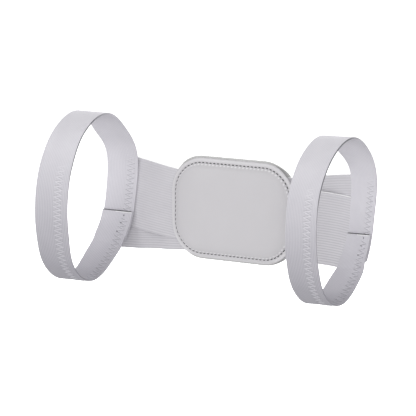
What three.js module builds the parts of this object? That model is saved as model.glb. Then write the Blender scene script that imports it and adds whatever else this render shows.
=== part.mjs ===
// A posture corrector, as worn: two elastic shoulder loops, two wide elastic strips that cross
// behind the wearer's back, and a stitched leatherette pad that holds the strips between its layers.
// Millimetres, +Z up. The wearer's back is on the -Y side, so the loops reach towards -Y.
// The origin is the middle of the pad's face, where it sits between the shoulder blades.
import * as THREE from "three";

// Elastic
const BAND_WIDTH = 38;
const BAND_THICKNESS = 1.8;
const LAP_LENGTH = 28;
const STRIP_WIDTH = 75;
const STRIP_THICKNESS = 1.8;
const STRIP_EASE_MARGIN = 4;
const STRIP_WRAP_REACH = 30;
const REAR_STRIP_SLACK = 3;
const SEWN_GAP = 0.3;

// Leatherette pad
const PAD_WIDTH = 148;
const PAD_HEIGHT = 105;
const PAD_CORNER = 37;
const FRONT_THICKNESS = 6;
const FRONT_EDGE_THICKNESS = 2;
const BACK_THICKNESS = 3;
const BACK_EDGE_THICKNESS = 2;
const BACK_LIP = 1.8;
const BACK_SHIFT = -1.5;
const SEAM_INSET = 5;
const CROWN_INSET = 18;
const POCKET_TOP = 42;
const POCKET_BOTTOM = 47;

// How each loop is carried. out, lift and ahead: how far its rear middle lies to the side of the
// pad's, above it and in front of it. depth and height: its size from front to rear and from top
// to bottom. skew and lean: how much its middle line slants to the side, as it runs to the rear
// and as it climbs. seamTurn: the turn in degrees where the lap's seam is sewn to the strips.
// sewn: how far the strips' ends reach across the band from its inner rim.
const LEFT_LOOP = {
  side: -1, out: 138, lift: 12, ahead: 0, depth: 130, height: 176,
  skew: 0.15, lean: 0.1, seamTurn: 198, sewn: 34,
};
const RIGHT_LOOP = {
  side: 1, out: 160, lift: 15.5, ahead: 15, depth: 130, height: 166,
  skew: 0.06, lean: 0.07, seamTurn: 197, sewn: 17,
};

// A row for every 30 degrees round a loop, from its front (0) over its top (90) to its rear (180).
// reach: share of the loop's half depth and half height. forward: how far the outer edge of the
// band is turned to the front, in degrees. rise: how far that edge is turned up, in degrees.
LEFT_LOOP.rows = [
  { reach: 0.79, forward: 7, rise: 5 },
  { reach: 0.85, forward: 3, rise: 7 },
  { reach: 0.95, forward: -3, rise: 4 },
  { reach: 0.99, forward: -3, rise: 0 },
  { reach: 0.88, forward: 4, rise: -6 },
  { reach: 0.89, forward: 3, rise: 0 },
  { reach: 0.83, forward: 0, rise: 5 },
  { reach: 0.87, forward: -2, rise: 6 },
  { reach: 0.89, forward: -4, rise: 5 },
  { reach: 1.02, forward: -6, rise: -2 },
  { reach: 0.96, forward: 1, rise: -1 },
  { reach: 0.82, forward: 8, rise: 2 },
];
RIGHT_LOOP.rows = [
  { reach: 0.84, forward: 9, rise: -4 },
  { reach: 0.91, forward: 10, rise: -1 },
  { reach: 0.96, forward: 8, rise: 2 },
  { reach: 0.98, forward: 6, rise: 2 },
  { reach: 0.91, forward: 5, rise: 3 },
  { reach: 0.93, forward: 18, rise: -2 },
  { reach: 0.86, forward: 23, rise: -1 },
  { reach: 0.92, forward: 24, rise: 4 },
  { reach: 0.92, forward: 12, rise: 3 },
  { reach: 1.01, forward: 7, rise: 4 },
  { reach: 0.96, forward: 5, rise: -3 },
  { reach: 0.86, forward: 6, rise: -4 },
];

// Height of each strip's middle line, as shares of the strip's width, at five places along it:
// its left end, the pad's left edge, the pad's middle, the pad's right edge and its right end.
const FRONT_STRIP_LIFTS = { leftEnd: 0.21, padLeft: 0.025, middle: -0.06, padRight: -0.1, rightEnd: -0.14 };
const REAR_STRIP_LIFTS = { leftEnd: -0.19, padLeft: -0.14, middle: -0.03, padRight: 0.04, rightEnd: 0.2 };

// Fineness of the meshes
const LOOP_STEPS = 120;
const STRIP_STEPS = [20, 5, 5, 24];
const STRIP_STEPS_ACROSS = 16;
const PAD_CORNER_STEPS = 10;
const SLOPE_STEP = 0.5;

const PAD_HALF = PAD_WIDTH / 2;
const FRONT_STRIP_DEPTH = FRONT_THICKNESS + SEWN_GAP + STRIP_THICKNESS / 2;
const REAR_STRIP_DEPTH = FRONT_STRIP_DEPTH + STRIP_THICKNESS + SEWN_GAP;
const BACK_DEPTH = REAR_STRIP_DEPTH + STRIP_THICKNESS / 2 + SEWN_GAP;
const BAND_DEPTH = FRONT_STRIP_DEPTH - STRIP_THICKNESS / 2 - SEWN_GAP - BAND_THICKNESS / 2;

const radians = THREE.MathUtils.degToRad;
const smooth = (share) => THREE.MathUtils.smoothstep(share, 0, 1);

// A smooth closed reading of one column of a loop's rows, at any turn in degrees.
function columnAt(rows, column, turn) {
  const count = rows.length;
  const place = THREE.MathUtils.euclideanModulo(turn / 360, 1) * count;
  const row = Math.floor(place);
  const t = place - row;
  const [a, b, c, d] = [-1, 0, 1, 2].map((step) => rows[(row + step + count) % count][column]);
  const bend = (2 * a - 5 * b + 4 * c - d) * t * t + (3 * b - a - 3 * c + d) * t * t * t;
  return 0.5 * (2 * b + (c - a) * t + bend);
}

// The middle line of a loop's band at a turn.
function loopMiddle(loop, turn) {
  const rearReach = columnAt(loop.rows, "reach", 180);
  const reach = columnAt(loop.rows, "reach", turn);
  const back = -Math.cos(radians(turn)) * reach * loop.depth / 2;
  const behindRear = back - rearReach * loop.depth / 2;
  const up = Math.sin(radians(turn)) * reach * loop.height / 2;
  return new THREE.Vector3(
    loop.side * loop.out + loop.skew * behindRear + loop.lean * up,
    BAND_DEPTH - loop.ahead + behindRear,
    loop.lift + up,
  );
}

// The direction across a loop's band at a turn, towards +X.
function loopAcross(loop, turn) {
  const swing = -loop.side * radians(columnAt(loop.rows, "forward", turn));
  const rise = loop.side * radians(columnAt(loop.rows, "rise", turn));
  return new THREE.Vector3(
    Math.cos(swing) * Math.cos(rise), Math.sin(swing) * Math.cos(rise), Math.sin(rise),
  );
}

// The turn at the rear of a loop whose middle line lies at a height.
function rearTurnAt(loop, height) {
  let [upper, lower] = [100, 260];
  for (let step = 0; step < 18; step += 1) {
    const turn = (upper + lower) / 2;
    if (loopMiddle(loop, turn).z > height) upper = turn;
    else lower = turn;
  }
  return (upper + lower) / 2;
}

// How deep the rear stretch of a loop's band lies at a place, read on past its rims as if wider.
function bandDepthAt(loop, x, z) {
  let across = 0;
  let middle = new THREE.Vector3();
  let direction = new THREE.Vector3(1, 0, 0);
  for (let step = 0; step < 5; step += 1) {
    const turn = rearTurnAt(loop, z - across * direction.z);
    middle = loopMiddle(loop, turn);
    direction = loopAcross(loop, turn);
    across = (x - middle.x) / direction.x;
  }
  return middle.y + across * direction.y;
}

// The stretch of a strip that spans between pad and loop at a height: from just past the pad's edge
// to just short of the band's inner rim.
function freeStretch(loop, z) {
  const start = loop.side * (PAD_HALF + STRIP_EASE_MARGIN);
  const rim = loop.side * (loop.out - BAND_WIDTH / 2 - STRIP_EASE_MARGIN) + loop.lean * (z - loop.lift);
  return [start, rim];
}

// The surface that bands and strips lie on: flat behind the pad, and easing on each side into the
// rear stretch of that side's loop, which the strips are sewn to. They wrap round with the band
// near its rear middle, and stand off it more and more above and below.
function seatDepth(x, z) {
  const loop = x < 0 ? LEFT_LOOP : RIGHT_LOOP;
  const [start, rim] = freeStretch(loop, z);
  if (loop.side * (x - start) <= 0) return BAND_DEPTH;
  const wrapped = loop.lift + STRIP_WRAP_REACH * Math.tanh((z - loop.lift) / STRIP_WRAP_REACH);
  if (loop.side * (x - rim) >= 0) return bandDepthAt(loop, x, wrapped);
  const rimDepth = bandDepthAt(loop, rim, wrapped);
  const rimSlope = (bandDepthAt(loop, rim + SLOPE_STEP, wrapped) - rimDepth) / SLOPE_STEP;
  const span = rim - start;
  const t = (x - start) / span;
  return THREE.MathUtils.lerp(BAND_DEPTH, rimDepth, t * t * (3 - 2 * t)) + (t - 1) * t * t * span * rimSlope;
}

// How far a slack strip bellies to the rear at a place: 0 at the pad and the loop, and 1 half way.
function bellyAt(x, z) {
  const [start, rim] = freeStretch(x < 0 ? LEFT_LOOP : RIGHT_LOOP, z);
  const t = THREE.MathUtils.clamp((x - start) / (rim - start), 0, 1);
  return Math.sin(Math.PI * t) ** 2;
}

// A point of that surface and the direction straight behind it.
function seatAt(x, z) {
  const slopeX = (seatDepth(x + SLOPE_STEP, z) - seatDepth(x - SLOPE_STEP, z)) / (2 * SLOPE_STEP);
  const slopeZ = (seatDepth(x, z + SLOPE_STEP) - seatDepth(x, z - SLOPE_STEP)) / (2 * SLOPE_STEP);
  return {
    place: new THREE.Vector3(x, seatDepth(x, z), z),
    behind: new THREE.Vector3(-slopeX, 1, -slopeZ).normalize(),
  };
}

// A closed mesh from rings of points, each ring joined to the next, with both ends closed.
function ringsToGeometry(rings, closeEnds) {
  const size = rings[0].length;
  const vertices = rings.flat().flatMap((point) => [point.x, point.y, point.z]);
  const faces = [];
  for (let ring = 0; ring + 1 < rings.length; ring += 1) {
    for (let place = 0; place < size; place += 1) {
      const next = (place + 1) % size;
      const [a, b] = [ring * size + place, ring * size + next];
      const [c, d] = [a + size, b + size];
      faces.push(a, c, b, b, c, d);
    }
  }
  closeEnds(faces, size, (rings.length - 1) * size);
  const geometry = new THREE.BufferGeometry();
  geometry.setAttribute("position", new THREE.Float32BufferAttribute(vertices, 3));
  geometry.setIndex(faces);
  geometry.computeVertexNormals();
  return geometry;
}

// Both ends of a flat strip, whose rings run across one face and back across the other.
function closeStripEnds(faces, size, last) {
  for (let place = 0; place + 1 < size / 2; place += 1) {
    const [near, far] = [size - 1 - place, size - 2 - place];
    faces.push(place, place + 1, near, place + 1, far, near);
    faces.push(last + place, last + near, last + place + 1, last + place + 1, last + near, last + far);
  }
}

// Both ends of a pad layer, whose innermost rings are closed by a fan.
function closePadEnds(faces, size, last) {
  for (let place = 1; place + 1 < size; place += 1) {
    faces.push(0, place, place + 1);
    faces.push(last, last + place + 1, last + place);
  }
}

// One shoulder loop: a single length of band that starts at the seam, runs down and round the front
// and laps under its own start at the rear, where both are sewn to the strips. Its start lies on
// the inner side of the lap and eases back onto the strips below it.
function makeLoop(loop) {
  const girth = Math.PI * (loop.depth + loop.height) / 2;
  const lapTurn = 360 * LAP_LENGTH / girth;
  const rings = [];
  for (let step = 0; step <= LOOP_STEPS; step += 1) {
    const travelled = (360 + lapTurn) * step / LOOP_STEPS;
    const turn = loop.seamTurn + travelled;
    const middle = loopMiddle(loop, turn);
    const across = loopAcross(loop, turn);
    const along = loopMiddle(loop, turn + 1).sub(loopMiddle(loop, turn - 1));
    const outward = new THREE.Vector3().crossVectors(across, along).normalize();
    const lifted = 1 - smooth((travelled - lapTurn) / (lapTurn / 2));
    middle.addScaledVector(outward, -lifted * (BAND_THICKNESS + SEWN_GAP));
    const corner = (side, face) => middle.clone()
      .addScaledVector(across, side * BAND_WIDTH / 2)
      .addScaledVector(outward, face * BAND_THICKNESS / 2);
    rings.push([corner(-1, -1), corner(1, -1), corner(1, 1), corner(-1, 1)]);
  }
  return ringsToGeometry(rings, closeStripEnds);
}

// Where a strip's cross-sections lie, as shares of its middle line: each of its stretches from one
// named place to the next takes an equal share, cut into its own number of steps.
function stripStations() {
  const stretches = STRIP_STEPS.length;
  const stations = STRIP_STEPS.flatMap((steps, stretch) => (
    Array.from({ length: steps }, (_, step) => (stretch + step / steps) / stretches)
  ));
  return [...stations, 1];
}

// One wide strip: a flat elastic that follows its middle line, square across it, and lies at a
// distance behind the surface of the bands, plus its slack where it spans between pad and loop.
function makeStrip(lifts, distance, slack) {
  const [leftEnd, rightEnd] = [LEFT_LOOP, RIGHT_LOOP].map((loop) => (
    loop.side * (loop.out - BAND_WIDTH / 2 + loop.sewn)
  ));
  const line = new THREE.CatmullRomCurve3([
    new THREE.Vector3(leftEnd, 0, lifts.leftEnd * STRIP_WIDTH),
    new THREE.Vector3(-PAD_HALF, 0, lifts.padLeft * STRIP_WIDTH),
    new THREE.Vector3(0, 0, lifts.middle * STRIP_WIDTH),
    new THREE.Vector3(PAD_HALF, 0, lifts.padRight * STRIP_WIDTH),
    new THREE.Vector3(rightEnd, 0, lifts.rightEnd * STRIP_WIDTH),
  ]);
  const shares = Array.from({ length: STRIP_STEPS_ACROSS + 1 }, (_, step) => step / STRIP_STEPS_ACROSS - 0.5);
  const rings = stripStations().map((station) => {
    const middle = line.getPoint(station);
    const along = line.getTangent(station);
    const seats = shares.map((share) => {
      const up = share * STRIP_WIDTH;
      return seatAt(middle.x - along.z * up, middle.z + along.x * up);
    });
    const face = (depth) => seats.map(({ place, behind }) => (
      place.clone().addScaledVector(behind, depth + slack * bellyAt(place.x, place.z))
    ));
    return [...face(distance - STRIP_THICKNESS / 2), ...face(distance + STRIP_THICKNESS / 2).reverse()];
  });
  return ringsToGeometry(rings, closeStripEnds);
}

// The pad's outline, moved in from its edge by an inset.
function padOutline(inset) {
  const corner = Math.max(PAD_CORNER - inset, 1);
  const centreX = PAD_WIDTH / 2 - inset - corner;
  const centreZ = PAD_HEIGHT / 2 - inset - corner;
  const points = [];
  for (let quarter = 0; quarter < 4; quarter += 1) {
    const signX = quarter === 0 || quarter === 3 ? 1 : -1;
    const signZ = quarter < 2 ? 1 : -1;
    for (let step = 0; step <= PAD_CORNER_STEPS; step += 1) {
      const angle = (quarter + step / PAD_CORNER_STEPS) * Math.PI / 2;
      points.push([signX * centreX + corner * Math.cos(angle), signZ * centreZ + corner * Math.sin(angle)]);
    }
  }
  return points;
}

// How far the two layers close on each other where no strip lies between them: 0 over the strips
// and 1 along the pad's top and bottom edges.
function closing(z) {
  const pocket = z > 0 ? POCKET_TOP : POCKET_BOTTOM;
  return smooth((Math.abs(z) - pocket) / (PAD_HEIGHT / 2 - pocket));
}

// One layer of the pad, from rows of an inset, a depth and a share of the closing travel, running
// from the middle of its front over its edge to the middle of its rear. A shift sets it off along X.
function makePadLayer(rows, travel, shift) {
  const rings = rows.map((row) => padOutline(row.inset).map(([x, z]) => (
    new THREE.Vector3(x + shift, row.depth + travel * row.closes * closing(z), z)
  )));
  return ringsToGeometry(rings, closePadEnds);
}

const CLOSING_TRAVEL = STRIP_THICKNESS + SEWN_GAP;
const FRONT_FLANGE = FRONT_THICKNESS - FRONT_EDGE_THICKNESS;
const BACK_FLANGE = BACK_DEPTH + BACK_EDGE_THICKNESS;
const BACK_FACE = BACK_DEPTH + BACK_THICKNESS;

const PAD_FRONT_ROWS = [
  { inset: CROWN_INSET, depth: 0, closes: 0 },
  { inset: (CROWN_INSET + SEAM_INSET) / 2, depth: 0.25 * FRONT_FLANGE, closes: 0.3 },
  { inset: SEAM_INSET + 1, depth: 0.8 * FRONT_FLANGE, closes: 0.8 },
  { inset: SEAM_INSET, depth: FRONT_FLANGE, closes: 1 },
  { inset: SEAM_INSET - 1.5, depth: 0.9 * FRONT_FLANGE, closes: 1 },
  { inset: 1, depth: FRONT_FLANGE, closes: 1 },
  { inset: 0, depth: FRONT_FLANGE + FRONT_EDGE_THICKNESS / 2, closes: 1 },
  { inset: 1, depth: FRONT_THICKNESS, closes: 1 },
  { inset: SEAM_INSET, depth: FRONT_THICKNESS, closes: 1 },
  { inset: CROWN_INSET, depth: FRONT_THICKNESS, closes: 0 },
];
const PAD_BACK_ROWS = [
  { inset: CROWN_INSET, depth: BACK_DEPTH, closes: 0 },
  { inset: SEAM_INSET, depth: BACK_DEPTH, closes: -1 },
  { inset: 1 - BACK_LIP, depth: BACK_DEPTH, closes: -1 },
  { inset: -BACK_LIP, depth: BACK_DEPTH + BACK_EDGE_THICKNESS / 2, closes: -1 },
  { inset: 1 - BACK_LIP, depth: BACK_FLANGE, closes: -1 },
  { inset: SEAM_INSET, depth: BACK_FLANGE, closes: -1 },
  { inset: CROWN_INSET, depth: BACK_FACE, closes: 0 },
];

const finish = (color, roughness) => new THREE.MeshStandardMaterial({ color, roughness, metalness: 0 });

function addPiece(group, name, geometry, material) {
  const mesh = new THREE.Mesh(geometry, material);
  mesh.name = name;
  group.add(mesh);
}

const corrector = new THREE.Group();
addPiece(corrector, "pad_front", makePadLayer(PAD_FRONT_ROWS, CLOSING_TRAVEL, 0), finish(0xcbcacc, 0.55));
const padBack = makePadLayer(PAD_BACK_ROWS, CLOSING_TRAVEL, BACK_SHIFT);
addPiece(corrector, "pad_back", padBack, finish(0xc4c3c6, 0.6));
const behindBand = (depth) => depth - BAND_DEPTH;
const frontStrip = makeStrip(FRONT_STRIP_LIFTS, behindBand(FRONT_STRIP_DEPTH), 0);
const rearStrip = makeStrip(REAR_STRIP_LIFTS, behindBand(REAR_STRIP_DEPTH), REAR_STRIP_SLACK);
addPiece(corrector, "front_strip", frontStrip, finish(0xc6c5ca, 0.9));
addPiece(corrector, "rear_strip", rearStrip, finish(0xc2c1c6, 0.9));
addPiece(corrector, "left_loop", makeLoop(LEFT_LOOP), finish(0xcfced4, 0.9));
addPiece(corrector, "right_loop", makeLoop(RIGHT_LOOP), finish(0xcfced4, 0.9));

export default corrector;
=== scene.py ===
"""A posture corrector in its worn shape: elastic shoulder loops, crossed elastic strips, leatherette pad."""
import math

import bpy
import numpy as np
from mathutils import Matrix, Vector


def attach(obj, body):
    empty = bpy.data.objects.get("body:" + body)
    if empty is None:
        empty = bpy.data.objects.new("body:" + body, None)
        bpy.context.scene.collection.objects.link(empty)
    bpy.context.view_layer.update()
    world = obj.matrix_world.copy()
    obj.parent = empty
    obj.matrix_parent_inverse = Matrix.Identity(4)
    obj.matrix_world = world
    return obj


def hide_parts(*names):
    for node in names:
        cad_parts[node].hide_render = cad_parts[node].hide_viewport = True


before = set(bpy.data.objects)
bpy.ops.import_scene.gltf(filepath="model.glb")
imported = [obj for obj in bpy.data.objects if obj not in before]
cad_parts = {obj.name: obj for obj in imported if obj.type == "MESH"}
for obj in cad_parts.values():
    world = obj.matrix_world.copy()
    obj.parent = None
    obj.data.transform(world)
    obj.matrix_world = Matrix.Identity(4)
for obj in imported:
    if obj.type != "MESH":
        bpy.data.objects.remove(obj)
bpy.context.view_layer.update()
MM = 0.001
BODY = "root"


# The view and the room. A long lens looks at the pad from its right and a little above, in a white
# studio over a glowing white floor. A soft key lamp stands in front near the line of view, a weaker
# one to the left lights the insides of the loops, and a third from behind lights their far faces.
CAMERA_AZIMUTH = math.radians(32.0)
CAMERA_ELEVATION = math.radians(9.4)
CAMERA_DISTANCE = 2.6
CAMERA_LENS = 218.4
CAMERA_SENSOR = 36.0
PAD_PLANE = Vector((0.0, 4.5 * MM, 0.0))
PAD_RIGHT_OF_VIEW = 25.1 * MM
PAD_BELOW_VIEW = 3.2 * MM

to_right = Vector((math.cos(CAMERA_AZIMUTH), math.sin(CAMERA_AZIMUTH), 0.0))
into_view = Vector((
    -math.sin(CAMERA_AZIMUTH) * math.cos(CAMERA_ELEVATION),
    math.cos(CAMERA_AZIMUTH) * math.cos(CAMERA_ELEVATION),
    -math.sin(CAMERA_ELEVATION),
))
view_up = to_right.cross(into_view)
aim = PAD_PLANE - to_right * PAD_RIGHT_OF_VIEW + view_up * PAD_BELOW_VIEW

camera_data = bpy.data.cameras.new("camera")
camera_data.lens = CAMERA_LENS
camera_data.sensor_width = CAMERA_SENSOR
camera_data.clip_end = 60.0
camera = bpy.data.objects.new("camera", camera_data)
camera.location = aim - into_view * CAMERA_DISTANCE
camera.rotation_euler = into_view.to_track_quat("-Z", "Y").to_euler()
bpy.context.scene.collection.objects.link(camera)
bpy.context.scene.camera = camera
bpy.context.scene.view_settings.view_transform = "Standard"


def linear(hex_colour):
    """A linear RGBA colour from an sRGB hex string: each channel by the sRGB curve."""
    channels = [int(hex_colour[i:i + 2], 16) / 255 for i in (1, 3, 5)]
    curve = [c / 12.92 if c <= 0.04045 else ((c + 0.055) / 1.055) ** 2.4 for c in channels]
    return (*curve, 1.0)


def add_node(material, kind, links=None, **settings):
    """Adds one node. A setting sets the node's own property of that name, or else its input.

    A link goes to the input of its name, or of its number where several share a name. Its source is
    an output, or a node, which then gives its first output in use, or a plain value.
    """
    made = material.node_tree.nodes.new(kind)
    inputs = {}
    for name, value in settings.items():
        if hasattr(made, name):
            setattr(made, name, value)
        else:
            inputs[name] = value
    for name, value in [*inputs.items(), *(links or {}).items()]:
        label = str(name).replace("_", " ").lower()
        named = [socket for socket in made.inputs if socket.enabled and socket.name.lower() == label]
        socket = named[0] if named else made.inputs[name]
        if isinstance(value, bpy.types.Node):
            value = next(s for s in value.outputs if s.enabled)
        if isinstance(value, bpy.types.NodeSocket):
            material.node_tree.links.new(value, socket)
        else:
            socket.default_value = value
    return made


def new_material(name):
    """An empty material, ready for its nodes."""
    material = bpy.data.materials.new(name)
    material.use_nodes = True
    material.node_tree.nodes.clear()
    return material


# Matt white acrylic that glows a little, so that the floor reads as white as the backdrop.
FLOOR_DROP = 0.30
FLOOR_SIZE = 40.0
FLOOR_GLOW = 0.75
floor_paint = new_material("glowing_white_acrylic")
floor_shader = add_node(
    floor_paint, "ShaderNodeBsdfPrincipled", base_color=linear("#f7f7f7"), roughness=0.6,
    emission_color=(1.0, 1.0, 1.0, 1.0), emission_strength=FLOOR_GLOW,
)
add_node(floor_paint, "ShaderNodeOutputMaterial", {"Surface": floor_shader})
floor_mesh = bpy.data.meshes.new("floor")
half = FLOOR_SIZE / 2
floor_mesh.from_pydata(
    [(x, y, -FLOOR_DROP) for x, y in ((-half, -half), (half, -half), (half, half), (-half, half))],
    [], [(0, 1, 2, 3)],
)
floor_mesh.materials.append(floor_paint)
floor = bpy.data.objects.new("floor", floor_mesh)
floor.visible_diffuse = False
floor.visible_glossy = False
bpy.context.scene.collection.objects.link(floor)

BACKDROP_STRENGTH = 1.05
ROOM_ABOVE = linear("#d5d5d5")
ROOM_BELOW = linear("#cdcdce")
world = bpy.data.worlds.new("white_studio")
world.use_nodes = True
world.node_tree.nodes.clear()
sky_direction = add_node(world, "ShaderNodeTexCoord").outputs["Generated"]
sky_height = add_node(world, "ShaderNodeSeparateXYZ", {"Vector": sky_direction}).outputs["Z"]
sky_share = add_node(world, "ShaderNodeMapRange", {"Value": sky_height}, from_min=-1.0, from_max=1.0)
sky_colour = add_node(
    world, "ShaderNodeMix", {"Factor": sky_share}, data_type="RGBA", a=ROOM_BELOW, b=ROOM_ABOVE
)
room = add_node(world, "ShaderNodeBackground", {"Color": sky_colour}, strength=1.0)
backdrop = add_node(world, "ShaderNodeBackground", {"Color": linear("#ffffff")}, strength=BACKDROP_STRENGTH)
seen_directly = add_node(world, "ShaderNodeLightPath").outputs["Is Camera Ray"]
studio = add_node(world, "ShaderNodeMixShader", {0: seen_directly, 1: room, 2: backdrop})
add_node(world, "ShaderNodeOutputWorld", {"Surface": studio})
bpy.context.scene.world = world


def add_lamp(name, kind, place, target, power, size):
    """A soft lamp that stands at a place, looks at a target and isn't seen itself."""
    data = bpy.data.lights.new(name, kind)
    data.energy = power
    if kind == "AREA":
        data.size = size
    else:
        data.shadow_soft_size = size / 2
    made = bpy.data.objects.new(name, data)
    made.location = place
    made.rotation_euler = (target - place).to_track_quat("-Z", "Y").to_euler()
    made.visible_camera = False
    bpy.context.scene.collection.objects.link(made)
    return data


KEY_TARGET = Vector((0.0, -0.03, 0.08))
KEY_PLACE = Vector((0.72, -1.4, 0.3))
key_lamp = add_lamp("key_lamp", "SPOT", KEY_PLACE, KEY_TARGET, power=28.0, size=0.9)
key_lamp.spot_size = math.radians(40.0)
key_lamp.spot_blend = 1.0
FILL_TARGET = Vector((0.0, 0.0, 0.02))
FILL_PLACE = Vector((-0.9, -1.5, -0.02))
add_lamp("fill_lamp", "AREA", FILL_PLACE, FILL_TARGET, power=8.0, size=0.9)
REAR_TARGET = Vector((0.0, 0.0, 0.0))
REAR_PLACE = Vector((-0.9, 1.5, 0.9))
add_lamp("rear_lamp", "AREA", REAR_PLACE, REAR_TARGET, power=22.0, size=1.2)


# The shoulder loops: 38 mm woven elastic with fine lengthwise ribs, each a single length that
# starts at its seam at the rear, runs down and round the front, and laps under its own start.
# The lap is sewn to the strips, and a zigzag line stands raised along the band on both faces.
BAND_WIDTH = 38 * MM
BAND_THICKNESS = 1.8 * MM
LAP_LENGTH = 28 * MM
SEWN_GAP = 0.3 * MM
FRONT_THICKNESS = 6 * MM
BAND_DEPTH = FRONT_THICKNESS - BAND_THICKNESS / 2
BAND_RIB_PITCH = 1.9 * MM
BAND_RIB_HEIGHT = 0.11 * MM
RIM_ROUNDING = 0.8 * MM
RIM_POINTS = 9
BAND_STEPS = 430
BAND_STEPS_PER_RIB = 4
CUT_END_THINNING = 0.72
SLANT_EASE = 26 * MM
WAVE_TEXTURE_TURNS = 20

# A row stands for every 30 degrees, from a loop's front over its top and down its rear. The reach is
# a share of a plain oval, and the band across it is swung forward and raised by degrees.
ROUND_COLUMNS = [("reach", float), ("forward", float), ("rise", float)]
LEFT_ROUND = np.array([
    (0.79, 7, 5), (0.85, 3, 7), (0.95, -3, 4), (0.99, -3, 0), (0.88, 4, -6), (0.89, 3, 0),
    (0.83, 0, 5), (0.87, -2, 6), (0.89, -4, 5), (1.02, -6, -2), (0.96, 1, -1), (0.82, 8, 2),
], dtype=ROUND_COLUMNS)
RIGHT_ROUND = np.array([
    (0.84, 9, -4), (0.91, 10, -1), (0.96, 8, 2), (0.98, 6, 2), (0.91, 5, 3), (0.93, 18, -2),
    (0.86, 23, -1), (0.92, 24, 4), (0.92, 12, 3), (1.01, 7, 4), (0.96, 5, -3), (0.86, 6, -4),
], dtype=ROUND_COLUMNS)
# Out, lift and ahead place the middle of a loop's rear: sideways, up and in front of the strips.
# Skew and lean slant its oval. The seam is a turn, sewn is how far the strips reach behind the band
# from its inner rim, and the two cuts move its cut end along the band at its rims.
LEFT_LOOP = {
    "side": -1, "out": 138 * MM, "lift": 12 * MM, "ahead": 0.0, "depth": 130 * MM, "height": 176 * MM,
    "skew": 0.15, "lean": 0.1, "seam": 198.0, "sewn": 34 * MM, "cut": (2.5 * MM, -1.8 * MM),
    "round": LEFT_ROUND,
}
RIGHT_LOOP = {
    "side": 1, "out": 160 * MM, "lift": 15.5 * MM, "ahead": 15 * MM, "depth": 130 * MM, "height": 166 * MM,
    "skew": 0.06, "lean": 0.07, "seam": 197.0, "sewn": 17 * MM, "cut": (1.7 * MM, -0.4 * MM),
    "round": RIGHT_ROUND,
}


def read_round(loop, column, turn):
    """A column of a loop's rows at any turns in degrees: a closed run of cubics through the rows.

    The slope at each row is half the step from the row before it to the row after it.
    """
    values = loop["round"][column]
    place = np.mod(np.asarray(turn, float) / 360, 1) * len(values)
    row = np.floor(place).astype(int)
    t = place - row
    a, b, c, d = (values[(row + step) % len(values)] for step in (-1, 0, 1, 2))
    squared = 2 * a - 5 * b + 4 * c - d
    cubed = 3 * b - a - 3 * c + d
    return 0.5 * (2 * b + (c - a) * t + squared * t ** 2 + cubed * t ** 3)


def band_middle(loop, turn):
    """The band's middle line at turns: an oval scaled by its rows, slanted as it runs back and up."""
    reach = read_round(loop, "reach", turn)
    angle = np.radians(turn)
    back = -np.cos(angle) * reach * loop["depth"] / 2
    behind_rear = back - read_round(loop, "reach", 180.0) * loop["depth"] / 2
    up = np.sin(angle) * reach * loop["height"] / 2
    across = loop["side"] * loop["out"] + loop["skew"] * behind_rear + loop["lean"] * up
    return np.stack([across, BAND_DEPTH - loop["ahead"] + behind_rear, loop["lift"] + up], -1)


def band_across(loop, turn):
    """The direction across the band towards +X at turns, swung forward and up by the rows' angles."""
    swing = -loop["side"] * np.radians(read_round(loop, "forward", turn))
    rise = loop["side"] * np.radians(read_round(loop, "rise", turn))
    return np.stack([np.cos(swing) * np.cos(rise), np.sin(swing) * np.cos(rise), np.sin(rise)], -1)


def unit(vectors):
    """The same vectors at length one."""
    return vectors / np.linalg.norm(vectors, axis=-1, keepdims=True)


def ease(share):
    """A smooth step from 0 to 1, as 3 s squared minus 2 s cubed."""
    share = np.clip(share, 0, 1)
    return share * share * (3 - 2 * share)


def tape_profile(width, thickness, rib_pitch, rib_height, steps_per_rib):
    """The closed cross-section of a ribbed tape, as places across it and heights out of it.

    Each face is a row of cosine ribs, and each rim is a half round.
    """
    ribs = round(width / rib_pitch)
    flat = width / 2 - RIM_ROUNDING
    across = np.linspace(-flat, flat, ribs * steps_per_rib + 1)
    face = thickness / 2 - rib_height * 0.5 * (1 + np.cos(2 * np.pi * across * ribs / width))
    rim_turn = np.linspace(np.pi / 2, -np.pi / 2, RIM_POINTS)[1:-1]
    rim_across = flat + RIM_ROUNDING * np.cos(rim_turn)
    rim_out = thickness / 2 * np.sin(rim_turn)
    places = np.concatenate([across, rim_across, across[::-1], -rim_across[::-1]])
    outs = np.concatenate([face, rim_out, -face[::-1], rim_out[::-1]])
    return places, outs


def rows_of_quads(rings, size):
    """Quads between each closed ring of points and the next."""
    ring, place = np.meshgrid(np.arange(rings - 1), np.arange(size), indexing="ij")
    after = (place + 1) % size
    corners = [ring * size + place, ring * size + after, (ring + 1) * size + after, (ring + 1) * size + place]
    return np.stack(corners, -1).reshape(-1, 4)


def new_piece(name, vertices, faces, material, slot, uv=None):
    """A smooth mesh object from whole arrays of places and faces, and its UV along and across a tape."""
    mesh = bpy.data.meshes.new(name)
    mesh.from_pydata(vertices.reshape(-1, 3), [], faces)
    if uv is not None:
        layer = mesh.uv_layers.new(name="along_tape")
        corner = np.zeros(len(mesh.loops), np.int32)
        mesh.loops.foreach_get("vertex_index", corner)
        layer.data.foreach_set("uv", uv.reshape(-1, 2)[corner].astype(np.float32).ravel())
    mesh.shade_smooth()
    mesh.materials.append(material)
    mesh.update()
    made = bpy.data.objects.new(name, mesh)
    bpy.context.scene.collection.objects.link(made)
    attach(made, BODY)
    return made


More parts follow.
